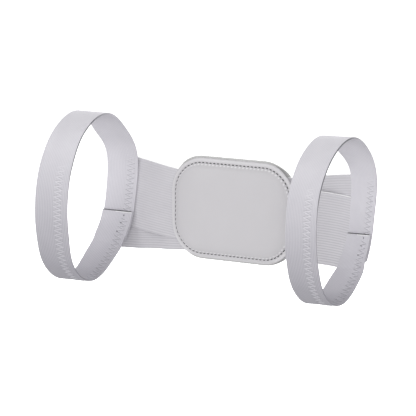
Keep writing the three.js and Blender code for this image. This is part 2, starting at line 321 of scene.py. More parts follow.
def tape_piece(name, seat, facing, profile, lift, distance, material, slot):
    """A closed ribbed tape, from the seat of each point of its cross-sections and the way it faces.

    A point is its seat, plus its height out of the tape times its facing. The first and last
    rings are thinned, so that the cut ends look pressed, not sawn.
    """
    places, outs = profile
    rings, size = seat.shape[:2]
    thin = np.ones((rings, 1))
    thin[[0, -1]] = CUT_END_THINNING
    points = seat + facing * (outs * thin + lift[:, None])[..., None]
    first_end = np.arange(size)[::-1].tolist()
    last_end = ((rings - 1) * size + np.arange(size)).tolist()
    faces = [*rows_of_quads(rings, size).tolist(), first_end, last_end]
    uv = np.stack(np.broadcast_arrays(distance[:, None], places), -1)
    return new_piece(name, points, faces, material, slot, uv)


# A painted shade darkens the elastic's colour downwards between two heights. Past REAR_FROM along the tape
# from the middle of a loop's front, the height is read as up to a lift higher: a painted light that keeps the
# rear stretches paler.
# A rim's painted line, shade on the bands and a highlight on the strips, comes in between two heights, low
# and high, and fades along the tape until it ends. The strips are shorter than the distance at which theirs
# would fade.
PAINTED_SHADE_LOW = -75 * MM
PAINTED_SHADE_HIGH = 70 * MM
FRONT_MIDDLE = 232 * MM
REAR_FROM = 105 * MM
REAR_TO = 165 * MM
REAR_PAINTED_LIGHT_LIFT = 48 * MM
BAND_RIM_SHADE = {
    "colour": "#7e7e84", "line": 0.5 * MM, "low": 18 * MM, "high": 50 * MM,
    "fades": 298 * MM, "ends": 322 * MM,
}
STRIP_RIM_HIGHLIGHT = {"colour": "#fbfbfc", "line": 1.1 * MM, "low": 0.0, "high": 12 * MM, "fades": 0.9, "ends": 1.0}
# The share of the rib grooves' painted shade that is left high up.
RIB_SHADE_SHARE_HIGH = 0.3
MOTTLE_SIZE = 18.2 * MM
LINT_SIZE = 0.714 * MM
BAND_WEFT_PITCH = 0.9 * MM


def woven_elastic(name, colour, shaded_low_colour, width, rib_pitch, rib_shade_tint, rim, weft_pitch):
    """Woven elastic: matt polyester over rubber, with weft rows across it and a soft lint sheen.

    A painted shade deepens its grey towards the lowest stretches of a loop's front, and a painted light keeps
    its rear stretches paler. The grooves between its ribs carry a painted shade, strongest low down. It is
    faintly mottled, and its upper rims carry a painted line: shade on the bands, a highlight on the strips.
    Real weft rows are about half a millimetre apart and lint is finer still, too fine to show, so both are
    drawn coarser than they are.
    """
    material = new_material(name)
    uv = add_node(material, "ShaderNodeUVMap", uv_map="along_tape")
    place = add_node(material, "ShaderNodeTexCoord").outputs["Object"]
    height = add_node(material, "ShaderNodeSeparateXYZ", {"Vector": place}).outputs["Z"]
    on_tape = add_node(material, "ShaderNodeSeparateXYZ", {"Vector": uv})
    from_front = add_node(
        material, "ShaderNodeMath", {0: on_tape.outputs["X"], 1: FRONT_MIDDLE}, operation="SUBTRACT"
    )
    off_front = add_node(material, "ShaderNodeMath", {0: from_front}, operation="ABSOLUTE")
    # Painted light: the rear stretches are read as higher up, so they stay paler.
    painted_light_lift = add_node(
        material, "ShaderNodeMapRange", {"Value": off_front},
        from_min=REAR_FROM, from_max=REAR_TO, to_max=REAR_PAINTED_LIGHT_LIFT,
    )
    lifted = add_node(material, "ShaderNodeMath", {0: height, 1: painted_light_lift}, operation="ADD")
    # Painted shade: the colour darkens towards the bottom.
    share = add_node(material, "ShaderNodeMapRange", {"Value": lifted}, from_min=PAINTED_SHADE_LOW, from_max=PAINTED_SHADE_HIGH)
    tone = add_node(
        material, "ShaderNodeMix", {"Factor": share}, data_type="RGBA", a=linear(shaded_low_colour), b=linear(colour)
    )
    mottle = add_node(material, "ShaderNodeTexNoise", {"Vector": place}, scale=1 / MOTTLE_SIZE, detail=4.0)
    ribs = add_node(
        material, "ShaderNodeTexWave", {"Vector": uv}, bands_direction="Y",
        scale=2 * math.pi / (WAVE_TEXTURE_TURNS * rib_pitch),
    )
    # Painted shade in the grooves between the ribs, strongest low down.
    rib_shade_share = add_node(
        material, "ShaderNodeMapRange", {"Value": share}, to_min=1.0, to_max=RIB_SHADE_SHARE_HIGH
    )
    rib_shade = add_node(
        material, "ShaderNodeMapRange", {"Value": ribs.outputs["Fac"], "To_Max": rib_shade_share},
        from_min=0.75, from_max=0.0,
    )
    off_middle = add_node(material, "ShaderNodeMath", {0: on_tape.outputs["Y"]}, operation="ABSOLUTE")
    # The upper rims' painted line: painted shade on the bands, a painted highlight on the strips.
    at_rim = add_node(
        material, "ShaderNodeMapRange", {"Value": off_middle},
        from_min=width / 2 - rim["line"], from_max=width / 2 - rim["line"] / 2,
    )
    high_up = add_node(
        material, "ShaderNodeMapRange", {"Value": height, "To_Max": at_rim},
        from_min=rim["low"], from_max=rim["high"],
    )
    painted_rim_share = add_node(
        material, "ShaderNodeMapRange", {"Value": on_tape.outputs["X"], "To_Min": high_up},
        from_min=rim["fades"], from_max=rim["ends"], to_max=0.0,
    )
    weft = add_node(
        material, "ShaderNodeTexWave", {"Vector": uv}, bands_direction="X", distortion=0.6, detail=1.0,
        scale=2 * math.pi / (WAVE_TEXTURE_TURNS * weft_pitch),
    )
    lint = add_node(material, "ShaderNodeTexNoise", {"Vector": place}, scale=1 / LINT_SIZE, detail=2.0)
    weave = add_node(material, "ShaderNodeMix", {"A": weft.outputs["Fac"], "B": lint}, factor=0.4)
    for factor, blend, tint in (
        (mottle, "MULTIPLY", "#f4f4f5"), (rib_shade, "MULTIPLY", rib_shade_tint), (weave, "MULTIPLY", "#f2f2f3"),
        (painted_rim_share, "MIX", rim["colour"]),
    ):
        tone = add_node(
            material, "ShaderNodeMix", {"Factor": factor, "A": tone}, data_type="RGBA", blend_type=blend,
            b=linear(tint),
        )
    bump = add_node(material, "ShaderNodeBump", {"Height": weave}, strength=0.4, distance=0.12 * MM)
    shader = add_node(
        material, "ShaderNodeBsdfPrincipled", {"Base Color": tone, "Normal": bump},
        roughness=0.88, sheen_weight=0.12, sheen_roughness=0.5, specular_ior_level=0.3,
    )
    add_node(material, "ShaderNodeOutputMaterial", {"Surface": shader})
    return material


# After the band's own weave come the raised cord of its zigzags, lightened by a painted highlight, a dark run
# laid beside it as its painted shadow, and a painted highlight along the lap's cut end.
band_elastic, highlit_cord_elastic, cord_shadow_elastic, edge_highlight_elastic = (
    woven_elastic(name, colour, shaded_low_colour, BAND_WIDTH, BAND_RIB_PITCH, rib_shade_tint, rim, BAND_WEFT_PITCH)
    for name, colour, shaded_low_colour, rib_shade_tint, rim in (
        ("woven_elastic_band", "#eceaef", "#b9b7be", "#e0e0e2", BAND_RIM_SHADE),
        ("raised_cord_painted_highlight", "#efedf2", "#c2c0c7", "#ffffff", STRIP_RIM_HIGHLIGHT),
        ("painted_shadow_beside_cord", "#c9c8cd", "#98979e", "#ffffff", STRIP_RIM_HIGHLIGHT),
        ("painted_highlight_on_cut_edge", "#ffffff", "#fcfcfd", "#ffffff", STRIP_RIM_HIGHLIGHT),
    )
)
band_profile = tape_profile(BAND_WIDTH, BAND_THICKNESS, BAND_RIB_PITCH, BAND_RIB_HEIGHT, BAND_STEPS_PER_RIB)


def loop_course(loop):
    """The band's middle, across and outward directions, lift and distance at even turns from its seam.

    Its start lies a thickness and a gap inside the rest, and eases out to it past the lap.
    """
    girth = math.pi * (loop["depth"] + loop["height"]) / 2
    lap_turn = 360 * LAP_LENGTH / girth
    travelled = np.linspace(0, 360 + lap_turn, BAND_STEPS + 1)
    turn = loop["seam"] + travelled
    middle = band_middle(loop, turn)
    across = band_across(loop, turn)
    along = band_middle(loop, turn + 1) - band_middle(loop, turn - 1)
    outward = unit(np.cross(across, along))
    lift = -(1 - ease((travelled - lap_turn) / (lap_turn / 2))) * (BAND_THICKNESS + SEWN_GAP)
    steps = np.linalg.norm(np.diff(middle, axis=0), axis=1)
    distance = np.concatenate([[0.0], np.cumsum(steps)])
    return {
        "middle": middle, "across": across, "outward": outward, "lift": lift, "distance": distance,
        "turn": turn,
    }


def on_band(course, distance, place, height):
    """Points on a band at distances along it, places across it and heights out of its middle.

    A distance before the band's start is read straight on, along its first step.
    """
    def read(values):
        return np.stack([np.interp(distance, course["distance"], column) for column in values.T], -1)
    lift = np.interp(distance, course["distance"], course["lift"])
    outward = unit(read(course["outward"]))
    points = read(course["middle"]) + read(course["across"]) * place[:, None]
    points += outward * (height + lift)[:, None]
    first_step = unit(course["middle"][1] - course["middle"][0])
    return points + np.minimum(distance, 0)[:, None] * first_step, outward


THREAD_END_TAPER = 0.25


def thread_runs(points, facing, half_width, half_height, sides):
    """Closed threads along runs of points, each lying flat on a surface that faces a given way.

    A ring's points are the run's point, plus half the width times a cosine to the side, plus half
    the height times a sine out of the surface. The first and last rings are tapered and closed.
    """
    runs, steps = points.shape[:2]
    along = unit(np.gradient(points, axis=1))
    sideways = unit(np.cross(along, facing))
    turn = np.arange(sides) * 2 * np.pi / sides
    taper = np.ones(steps)
    taper[[0, -1]] = THREAD_END_TAPER
    offset = sideways[:, :, None] * (half_width * np.cos(turn))[:, None]
    offset = offset + facing[:, :, None] * (half_height * np.sin(turn))[:, None]
    vertices = points[:, :, None] + offset * taper[:, None, None]
    quads = rows_of_quads(steps, sides)[:, ::-1]
    ends = np.stack([np.arange(sides), (steps - 1) * sides + np.arange(sides)[::-1]])
    starts = np.arange(runs) * steps * sides
    faces = (starts[:, None, None] + quads).reshape(-1, 4).tolist()
    faces += (starts[:, None, None] + ends).reshape(-1, sides).tolist()
    return vertices, faces


ZIGZAG_PITCH = 5.2 * MM
ZIGZAG_HALF_SPREAD = 4.8 * MM
ZIGZAG_PLACES = {1: 7.5 * MM, -1: 10.5 * MM}
ZIGZAG_HALF_WIDTH = 0.45 * MM
ZIGZAG_STEPS = 8
ZIGZAG_SINK = 0.15 * MM
ZIGZAG_FADE_SINK = 0.5 * MM
ZIGZAG_FADES_FROM = 0.15
ZIGZAG_FADES_OVER = 0.6
ZIGZAG_END_MARGIN = 6 * MM
# Each cord's painted shadow is a dark run, nearly flush, set a little along the band from it.
CORD_SHADOW_SHIFT = 1.15 * MM
CORD_SHADOW_SINK = 0.24 * MM


def zigzag_thread(course, face, shift, sink):
    """A zigzag on one face: a triangle wave across the band, moved along it by a shift.

    It is sunk into the band by a depth, and deeper near the loop's top, where the weave hides it. It
    sinks there as the sine of its turn grows.
    """
    length = course["distance"][-1]
    periods = int((length - 2 * ZIGZAG_END_MARGIN - LAP_LENGTH * (face > 0)) / ZIGZAG_PITCH)
    phase = np.arange(periods * ZIGZAG_STEPS + 1) / ZIGZAG_STEPS
    distance = ZIGZAG_END_MARGIN + phase * ZIGZAG_PITCH + shift
    wave = 1 - 4 * np.abs(np.mod(phase, 1) - 0.5)
    turn = np.interp(distance, course["distance"], course["turn"])
    near_top = ease((np.sin(np.radians(turn)) - ZIGZAG_FADES_FROM) / ZIGZAG_FADES_OVER)
    height = BAND_THICKNESS / 2 - sink - ZIGZAG_FADE_SINK * near_top
    place = ZIGZAG_PLACES[face] + ZIGZAG_HALF_SPREAD * wave
    points, outward = on_band(course, distance, place, face * height)
    return thread_runs(points[None], face * outward[None], ZIGZAG_HALF_WIDTH, ZIGZAG_HALF_WIDTH, sides=6)


def joined(parts):
    """Several arrays of places with their faces, as one."""
    vertices = []
    faces = []
    for places, part_faces in parts:
        start = sum(len(v) for v in vertices)
        vertices.append(places.reshape(-1, 3))
        faces += [[start + corner for corner in face] for face in part_faces]
    return np.concatenate(vertices), faces


def zigzag_piece(name, course, shift, sink, material):
    """The zigzags of both faces, as one piece, whose map stays at nought so that no rim line falls on it."""
    vertices, faces = joined([zigzag_thread(course, face, shift, sink) for face in (1, -1)])
    return new_piece(name, vertices, faces, material, "elastic_band", np.zeros((len(vertices), 2)))


TACK_LENGTH = 1.9 * MM
TACK_HALF_WIDTH = 0.62 * MM
TACK_HALF_HEIGHT = 0.25 * MM
TACK_LIFT = 0.1 * MM
TACK_POINTS = 5
TACK_COLUMNS = [("along", float), ("across", float), ("slant", float)]
TACKS = np.array([(4, 9.5, 80), (12.5, 8.2, 20), (23, 7.0, 60)], dtype=TACK_COLUMNS)
# Along the lap's cut end lie a dark painted shadow line in the gap there and, just below it, a pale painted
# highlight on the edge.
SHADOW_LINE_HALF_WIDTH = 0.42 * MM
LAP_EDGE_LINE_REACH = 18.2 * MM
LAP_EDGE_LINE_POINTS = 40
LAP_EDGE_LINE_SUNK_SHARE = 0.2
EDGE_HIGHLIGHT_DROP = 1.05 * MM
EDGE_HIGHLIGHT_START = -2 * MM
EDGE_HIGHLIGHT_HALF_WIDTH = 0.55 * MM


def cut_moved(cut, place):
    """How far along the band its cut end is moved at places across it, from its rims' two values."""
    share = place / BAND_WIDTH + 0.5
    return cut[0] * (1 - share) + cut[1] * share


def lap_tacks(course):
    """The dark thread ends that show on the lap's inner face, each a short flat run at its own slant."""
    slant = np.radians(TACKS["slant"])[:, None]
    run = np.linspace(-0.5, 0.5, TACK_POINTS)[None] * TACK_LENGTH
    distance = TACKS["along"][:, None] * MM + run * np.sin(slant)
    place = TACKS["across"][:, None] * MM + run * np.cos(slant)
    height = np.full(distance.size, -BAND_THICKNESS / 2 - TACK_LIFT)
    points, outward = on_band(course, distance.ravel(), place.ravel(), height)
    shape = (*distance.shape, 3)
    facing = -outward.reshape(shape)
    return thread_runs(points.reshape(shape), facing, TACK_HALF_WIDTH, TACK_HALF_HEIGHT, sides=6)


def seam_line(course, cut, start, drop, half_width):
    """A run laid across the lap from a place on, slanted as its cut end is, a drop below the edge.

    It is sunk into the band by a share of its half width. It draws the dark painted shadow line in the gap at
    the lap's cut end, and the pale painted highlight on that edge just below it.
    """
    place = np.linspace(start, LAP_EDGE_LINE_REACH, LAP_EDGE_LINE_POINTS)
    distance = cut_moved(cut, place) + drop
    height = np.full(place.size, -BAND_THICKNESS / 2 + half_width * LAP_EDGE_LINE_SUNK_SHARE)
    points, outward = on_band(course, distance, place, height)
    return thread_runs(points[None], -outward[None], half_width, half_width, sides=8)


# Spun polyester sewing thread, dyed dark grey: nearly matt, with a faint fuzz. Its real fibres are
# far too fine to show, so the fuzz is drawn coarser.
THREAD_FUZZ_SIZE = 0.4 * MM
sewing_thread = new_material("polyester_sewing_thread")
thread_place = add_node(sewing_thread, "ShaderNodeTexCoord").outputs["Object"]
thread_fuzz = add_node(
    sewing_thread, "ShaderNodeTexNoise", {"Vector": thread_place}, scale=1 / THREAD_FUZZ_SIZE
)
thread_bump = add_node(
    sewing_thread, "ShaderNodeBump", {"Height": thread_fuzz}, strength=0.4, distance=0.1 * MM
)
thread_shader = add_node(
    sewing_thread, "ShaderNodeBsdfPrincipled", {"Normal": thread_bump},
    base_color=linear("#4c4c50"), roughness=0.6, sheen_weight=0.1,
)
add_node(sewing_thread, "ShaderNodeOutputMaterial", {"Surface": thread_shader})


def make_loop(side, node, loop):
    """One loop with its zigzags and their painted shadows, tacks, and the painted shadow line and painted
    highlight at its lap's cut end, lapped on itself.

    Its cut end is slanted: the first rings move along the band, less and less away from the end.
    """
    course = loop_course(loop)
    places = band_profile[0]
    along = unit(np.gradient(course["middle"], axis=0))
    fading = 1 - ease(course["distance"] / SLANT_EASE)
    moved = along[:, None] * (fading[:, None] * cut_moved(loop["cut"], places))[..., None]
    seat = course["middle"][:, None] + course["across"][:, None] * places[:, None] + moved
    band = tape_piece(
        side + "_shoulder_loop", seat, course["outward"][:, None], band_profile, course["lift"],
        course["distance"], band_elastic, "elastic_band",
    )
    zigzags = zigzag_piece(side + "_zigzag_lines", course, 0.0, ZIGZAG_SINK, highlit_cord_elastic)
    # A dark run beside each cord is its painted shadow.
    cord_shadows = zigzag_piece(side + "_zigzag_painted_shadows", course, CORD_SHADOW_SHIFT, CORD_SHADOW_SINK, cord_shadow_elastic)
    tacks = new_piece(side + "_lap_tacks", *lap_tacks(course), sewing_thread, "thread")
    # The dark line at the lap's cut end is a painted shadow drawn with sewing thread, and the pale run below
    # it is a painted highlight.
    seam = seam_line(course, loop["cut"], -LAP_EDGE_LINE_REACH, 0.0, SHADOW_LINE_HALF_WIDTH)
    shadow_line_piece = new_piece(side + "_lap_painted_shadow_line", *seam, sewing_thread, "thread")
    edge = seam_line(course, loop["cut"], EDGE_HIGHLIGHT_START, EDGE_HIGHLIGHT_DROP, EDGE_HIGHLIGHT_HALF_WIDTH)
    highlight_piece = new_piece(
        side + "_lap_edge_highlight", *edge, edge_highlight_elastic, "elastic_band", np.zeros((edge[0].size // 3, 2))
    )
    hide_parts(node)


make_loop("left", "left_loop", LEFT_LOOP)
make_loop("right", "right_loop", RIGHT_LOOP)


# The two wide strips: 75 mm woven elastic, ribbed lengthwise like the bands but coarser. They
# cross between the pad's layers and are sewn in there, and each end is sewn behind the rear of a
# loop and follows its curve.
STRIP_WIDTH = 75 * MM
STRIP_THICKNESS = 1.8 * MM
STRIP_EASE_MARGIN = 4 * MM
STRIP_WRAP_REACH = 30 * MM
REAR_STRIP_SLACK = 3 * MM
STRIP_RIB_PITCH = 2.6 * MM
STRIP_RIB_HEIGHT = 0.1 * MM
STRIP_WEFT_PITCH = 1.1 * MM
STRIP_STEPS = 150
STRIP_STEPS_PER_RIB = 5
PAD_WIDTH = 148 * MM
SLOPE_STEP = 0.5 * MM
REAR_TURNS = (100.0, 260.0)
REAR_TURN_HALVINGS = 18
ACROSS_ROUNDS = 4
FRONT_STRIP_BEHIND = BAND_THICKNESS / 2 + SEWN_GAP + STRIP_THICKNESS / 2
REAR_STRIP_BEHIND = FRONT_STRIP_BEHIND + STRIP_THICKNESS + SEWN_GAP
STRIP_LIFT_COLUMNS = [(name, float) for name in ("left_end", "pad_left", "middle", "pad_right", "right_end")]
FRONT_STRIP_LIFTS = np.array((0.21, 0.025, -0.06, -0.1, -0.14), dtype=STRIP_LIFT_COLUMNS)
REAR_STRIP_LIFTS = np.array((-0.19, -0.14, -0.03, 0.04, 0.2), dtype=STRIP_LIFT_COLUMNS)


def rear_turn(loop, height):
    """The turn at a loop's rear whose middle line lies at a height, found by halving the stretch."""
    upper, lower = (np.full(height.shape, turn) for turn in REAR_TURNS)
    for _ in range(REAR_TURN_HALVINGS):
        turn = (upper + lower) / 2
        above = band_middle(loop, turn)[..., 2] > height
        upper = np.where(above, turn, upper)
        lower = np.where(above, lower, turn)
    return (upper + lower) / 2


def band_depth(loop, x, z):
    """How deep a loop's rear stretch lies at a place, read on past its rims as if wider."""
    across = np.zeros(x.shape)
    direction = np.zeros((*x.shape, 3))
    for _ in range(ACROSS_ROUNDS):
        turn = rear_turn(loop, z - across * direction[..., 2])
        middle = band_middle(loop, turn)
        direction = band_across(loop, turn)
        across = (x - middle[..., 0]) / direction[..., 0]
    return middle[..., 1] + across * direction[..., 1]


def free_stretch(loop, z):
    """The ends of a strip's free stretch at heights: just past the pad and just short of the band."""
    start = loop["side"] * (PAD_WIDTH / 2 + STRIP_EASE_MARGIN)
    rim = loop["side"] * (loop["out"] - BAND_WIDTH / 2 - STRIP_EASE_MARGIN)
    rim = rim + loop["lean"] * (z - loop["lift"])
    return start, rim


def seat_depth(x, z):
    """The surface behind bands and strips: flat at the pad, then a cubic that eases into each loop.

    The cubic leaves the flat without a slope and meets the loop's band at its depth and slope.
    Heights far from the loop's middle are drawn in by a hyperbolic tangent, so that the strips
    wrap round with the band near its middle only.
    """
    depth = np.full(x.shape, BAND_DEPTH)
    for loop in (LEFT_LOOP, RIGHT_LOOP):
        side = loop["side"]
        past_pad = side * x > PAD_WIDTH / 2 + STRIP_EASE_MARGIN
        sx = x[past_pad]
        sz = z[past_pad]
        start, rim = free_stretch(loop, sz)
        wrapped = loop["lift"] + STRIP_WRAP_REACH * np.tanh((sz - loop["lift"]) / STRIP_WRAP_REACH)
        rim_depth = band_depth(loop, rim, wrapped)
        rim_slope = (band_depth(loop, rim + SLOPE_STEP, wrapped) - rim_depth) / SLOPE_STEP
        t = np.clip((sx - start) / (rim - start), 0, 1)
        eased = BAND_DEPTH + (rim_depth - BAND_DEPTH) * ease(t) + (t - 1) * t * t * (rim - start) * rim_slope
        depth[past_pad] = np.where(side * (sx - rim) >= 0, band_depth(loop, sx, wrapped), eased)
    return depth


def belly(x, z):
    """How far a slack strip bellies back: sine squared, from 0 at the pad over 1 to 0 at a loop."""
    left = free_stretch(LEFT_LOOP, z)
    right = free_stretch(RIGHT_LOOP, z)
    start, rim = (np.where(x < 0, a, b) for a, b in zip(left, right))
    return np.sin(np.pi * np.clip((x - start) / (rim - start), 0, 1)) ** 2


def strip_line(lifts):
    """A strip's middle line as distances from its left end, places and slopes.

    Between its named places its height is a cubic whose slope at each is that of its neighbours.
    """
    left_end, right_end = (
        loop["side"] * (loop["out"] - BAND_WIDTH / 2 + loop["sewn"]) for loop in (LEFT_LOOP, RIGHT_LOOP)
    )
    known_x = np.array([left_end, -PAD_WIDTH / 2, 0.0, PAD_WIDTH / 2, right_end])
    known_z = np.array(lifts.tolist()) * STRIP_WIDTH
    known_slope = np.gradient(known_z, known_x)
    x = np.linspace(left_end, right_end, STRIP_STEPS + 1)
    stretch = np.clip(np.searchsorted(known_x, x, side="right") - 1, 0, len(known_x) - 2)
    span = known_x[stretch + 1] - known_x[stretch]
    t = (x - known_x[stretch]) / span
    rise = known_z[stretch + 1] - known_z[stretch]
    z = known_z[stretch] + rise * ease(t)
    z += span * (known_slope[stretch] * t * (1 - t) ** 2 - known_slope[stretch + 1] * t * t * (1 - t))
    slope = np.gradient(z, x)
    return x, z, slope


# The wide elastic is the bands' weave in one even grey, with painted shade in its rib grooves and a painted
# highlight on its upper rims.
STRIP_RIBS = round(STRIP_WIDTH / STRIP_RIB_PITCH)
strip_elastic = woven_elastic(
    "woven_elastic_strip", "#e5e3e7", "#e5e3e7", STRIP_WIDTH, STRIP_WIDTH / STRIP_RIBS, "#e0e0e1", STRIP_RIM_HIGHLIGHT,
    STRIP_WEFT_PITCH,
)
strip_profile = tape_profile(
    STRIP_WIDTH, STRIP_THICKNESS, STRIP_RIB_PITCH, STRIP_RIB_HEIGHT, STRIP_STEPS_PER_RIB
)


def make_strip(name, node, lifts, behind, slack):
    """One strip: its cross-sections square to its middle line, laid a distance behind the seat."""
    x, z, slope = strip_line(lifts)
    steepness = np.hypot(1, slope)[:, None]
    places = strip_profile[0]
    seat_x = x[:, None] - slope[:, None] / steepness * places
    seat_z = z[:, None] + 1 / steepness * places
    seat_y = seat_depth(seat_x, seat_z)
    slope_x = (seat_depth(seat_x + SLOPE_STEP, seat_z) - seat_y) / SLOPE_STEP
    slope_z = (seat_depth(seat_x, seat_z + SLOPE_STEP) - seat_y) / SLOPE_STEP
    facing = unit(np.stack([-slope_x, np.ones(slope_x.shape), -slope_z], -1))
    seat = np.stack([seat_x, seat_y, seat_z], -1) + facing * (slack * belly(seat_x, seat_z))[..., None]
    length = np.concatenate([[0.0], np.cumsum(np.hypot(np.diff(x), np.diff(z)))])
    lift = np.full(len(x), behind)
    strip = tape_piece(name, seat, facing, strip_profile, lift, length, strip_elastic, "wide_elastic")
    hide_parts(node)


make_strip("front_wide_strip", "front_strip", FRONT_STRIP_LIFTS, FRONT_STRIP_BEHIND, 0.0)
make_strip("rear_wide_strip", "rear_strip", REAR_STRIP_LIFTS, REAR_STRIP_BEHIND, REAR_STRIP_SLACK)


# The pad: two layers of polyurethane leatherette with thin foam behind the front one, sewn
# together all round over the strips. The seam sinks a groove inside a flat flange, the foam
# crowns the face within it, and the rear layer stands out a little as a darker edge.
PAD_HEIGHT = 105 * MM
PAD_CORNER = 37 * MM
LEAST_CORNER = 1 * MM
FRONT_EDGE_THICKNESS = 2 * MM
BACK_THICKNESS = 3 * MM
BACK_EDGE_THICKNESS = 2 * MM
BACK_LIP = 1.8 * MM
BACK_SHIFT = -1.5 * MM
SEAM_INSET = 5 * MM
POCKET_TOP = 42 * MM
POCKET_BOTTOM = 47 * MM
CORNER_STEPS = 90
LONG_SIDE_STEPS = 96
SHORT_SIDE_STEPS = 42
BACK_DEPTH = FRONT_THICKNESS + 3 * SEWN_GAP + 2 * STRIP_THICKNESS
CLOSING_TRAVEL = STRIP_THICKNESS + SEWN_GAP
FRONT_FLANGE = FRONT_THICKNESS - FRONT_EDGE_THICKNESS
BACK_FLANGE = BACK_DEPTH + BACK_EDGE_THICKNESS
CROWN_REACH = 3.6 * MM
GROOVE_DEPTH = 0.5 * MM
GROOVE_HALF_WIDTH = 0.9 * MM
FLANGE_SWELL = 0.35 * MM
FLANGE_SWELL_POWER = 0.8
STITCH_PITCH = 4.5 * MM
PUCKER_OFFSET = 1.3 * MM
PUCKER_HALF_WIDTH = 0.75 * MM
PUCKER_HEIGHT = 0.35 * MM
PUCKER_PHASE = math.radians(110.0)
# The strength of the painted highlight over the flange.
FLANGE_PAINTED_HIGHLIGHT = 0.32
FLANGE_MIDDLE = 1.6 * MM
FLANGE_HALF_WIDTH = 1.8 * MM
EDGE_ROUNDING = 0.8 * MM
EDGE_POINTS = 9
DEEPEST_INSET = 51 * MM
CLOSES_FROM = 18 * MM
CLOSES_WITHIN = 12 * MM
INNER_INSETS = np.array([3 * MM, SEAM_INSET, 12 * MM, CLOSES_FROM, DEEPEST_INSET])
FRONT_FACE_RINGS = [(51, 24, 8), (23, 10, 18), (9.6, 0.8, 34)]
BACK_FACE_RINGS = [(51, 14, 10), (13, 0.8, 44)]


def pad_outline(inset):
    """The pad's rounded outline moved in by insets: four arcs joined by even steps along each side."""
    inset = np.asarray(inset, float)[:, None]
    corner = np.maximum(PAD_CORNER - inset, LEAST_CORNER)
    centre_x = PAD_WIDTH / 2 - inset - corner
    centre_z = PAD_HEIGHT / 2 - inset - corner
    stretches = []
    for quarter, sign_x, sign_z in ((0, 1, 1), (1, -1, 1), (2, -1, -1), (3, 1, -1)):
        angle = (quarter + np.linspace(0, 1, CORNER_STEPS + 1)) * np.pi / 2
        arc = [sign_x * centre_x + corner * np.cos(angle), sign_z * centre_z + corner * np.sin(angle)]
        stretches.append(np.stack(arc, -1))
    sides = [LONG_SIDE_STEPS, SHORT_SIDE_STEPS] * 2
    joined_up = []
    for arc, following, steps in zip(stretches, stretches[1:] + stretches[:1], sides):
        share = np.linspace(0, 1, steps + 1)[1:-1, None]
        straight = arc[:, -1:] * (1 - share) + following[:, :1] * share
        joined_up += [arc, straight]
    return np.concatenate(joined_up, 1)


def ring_insets(stretches):
    """Insets of a face's rings: even steps over stretches in millimetres, from its middle out."""
    return np.concatenate([np.linspace(start * MM, end * MM, count) for start, end, count in stretches])


def closes_at(inset):
    """The share of the layers' closing that rings at insets take part in, easing to none inside."""
    return ease((CLOSES_FROM - inset) / CLOSES_WITHIN)


def closing(z):
    """How far the layers close on each other past the strips' pocket: 0 over it and 1 at the edge."""
    pocket = np.where(z > 0, POCKET_TOP, POCKET_BOTTOM)
    return ease((np.abs(z) - pocket) / (PAD_HEIGHT / 2 - pocket))


def front_depth(inset):
    """The front face's depth: an exponential crown inside the seam, a swollen flange outside it.

    The flange swells by a power of a sine, and a bell curve sinks a groove at the seam.
    """
    inside = np.exp(-np.maximum(inset - SEAM_INSET, 0) / CROWN_REACH)
    depth = FRONT_FLANGE * np.where(inset > SEAM_INSET, inside, 1.0)
    flange = np.clip(inset / SEAM_INSET, 0, 1)
    depth -= FLANGE_SWELL * np.sin(np.pi * flange) ** FLANGE_SWELL_POWER
    return depth + GROOVE_DEPTH * np.exp(-((inset - SEAM_INSET) / GROOVE_HALF_WIDTH) ** 2)


def seam_run():
    """Distances along the seam of the places on its outline, and its whole length."""
    seam = pad_outline([SEAM_INSET])[0]
    steps = np.linalg.norm(np.roll(seam, -1, axis=0) - seam, axis=1)
    return np.concatenate([[0.0], np.cumsum(steps)[:-1]]), steps.sum()


def puckers(inset):
    """Swells of the leatherette beside the seam: a cosine hump a stitch, times a bell curve across."""
    run, length = seam_run()
    turns = 2 * np.pi * run * round(length / STITCH_PITCH) / length
    ring = np.exp(-((inset - SEAM_INSET - PUCKER_OFFSET) / PUCKER_HALF_WIDTH) ** 2)
    return ring[:, None] * (0.5 + 0.5 * np.cos(turns - PUCKER_PHASE))


def pad_layer(name, node, inset, depth, closes, shift, material, swell):
    """A closed layer from rings at insets and depths, from one face's middle over the edge to the other's.

    A shift sets it off along X, as the rear layer is sewn a little off the front one. A swell raises
    the face, and together with a bell over the flange it gives the share of a painted highlight.
    """
    outline = pad_outline(inset)
    y = depth[:, None] + CLOSING_TRAVEL * closes[:, None] * closing(outline[..., 1]) - PUCKER_HEIGHT * swell
    vertices = np.stack([outline[..., 0] + shift, y, outline[..., 1]], -1)
    rings, size = vertices.shape[:2]
    ends = [np.arange(size).tolist(), ((rings - 1) * size + np.arange(size))[::-1].tolist()]
    faces = rows_of_quads(rings, size)[:, ::-1].tolist() + ends
    made = new_piece(name, vertices, faces, material, "leatherette")
    # A painted highlight pales the flange and the puckers.
    flange = FLANGE_PAINTED_HIGHLIGHT * np.exp(-((inset - FLANGE_MIDDLE) / FLANGE_HALF_WIDTH) ** 2)
    highlight_share = (swell + flange[:, None]).ravel().astype(np.float32)
    made.data.attributes.new("painted_highlight_share", "FLOAT", "POINT").data.foreach_set("value", highlight_share)
    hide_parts(node)
    return made


FILM_MOTTLE_SIZE = 26.3 * MM
FILM_SWELL_SIZE = 14.3 * MM
GRAIN_SIZE = 1.11 * MM


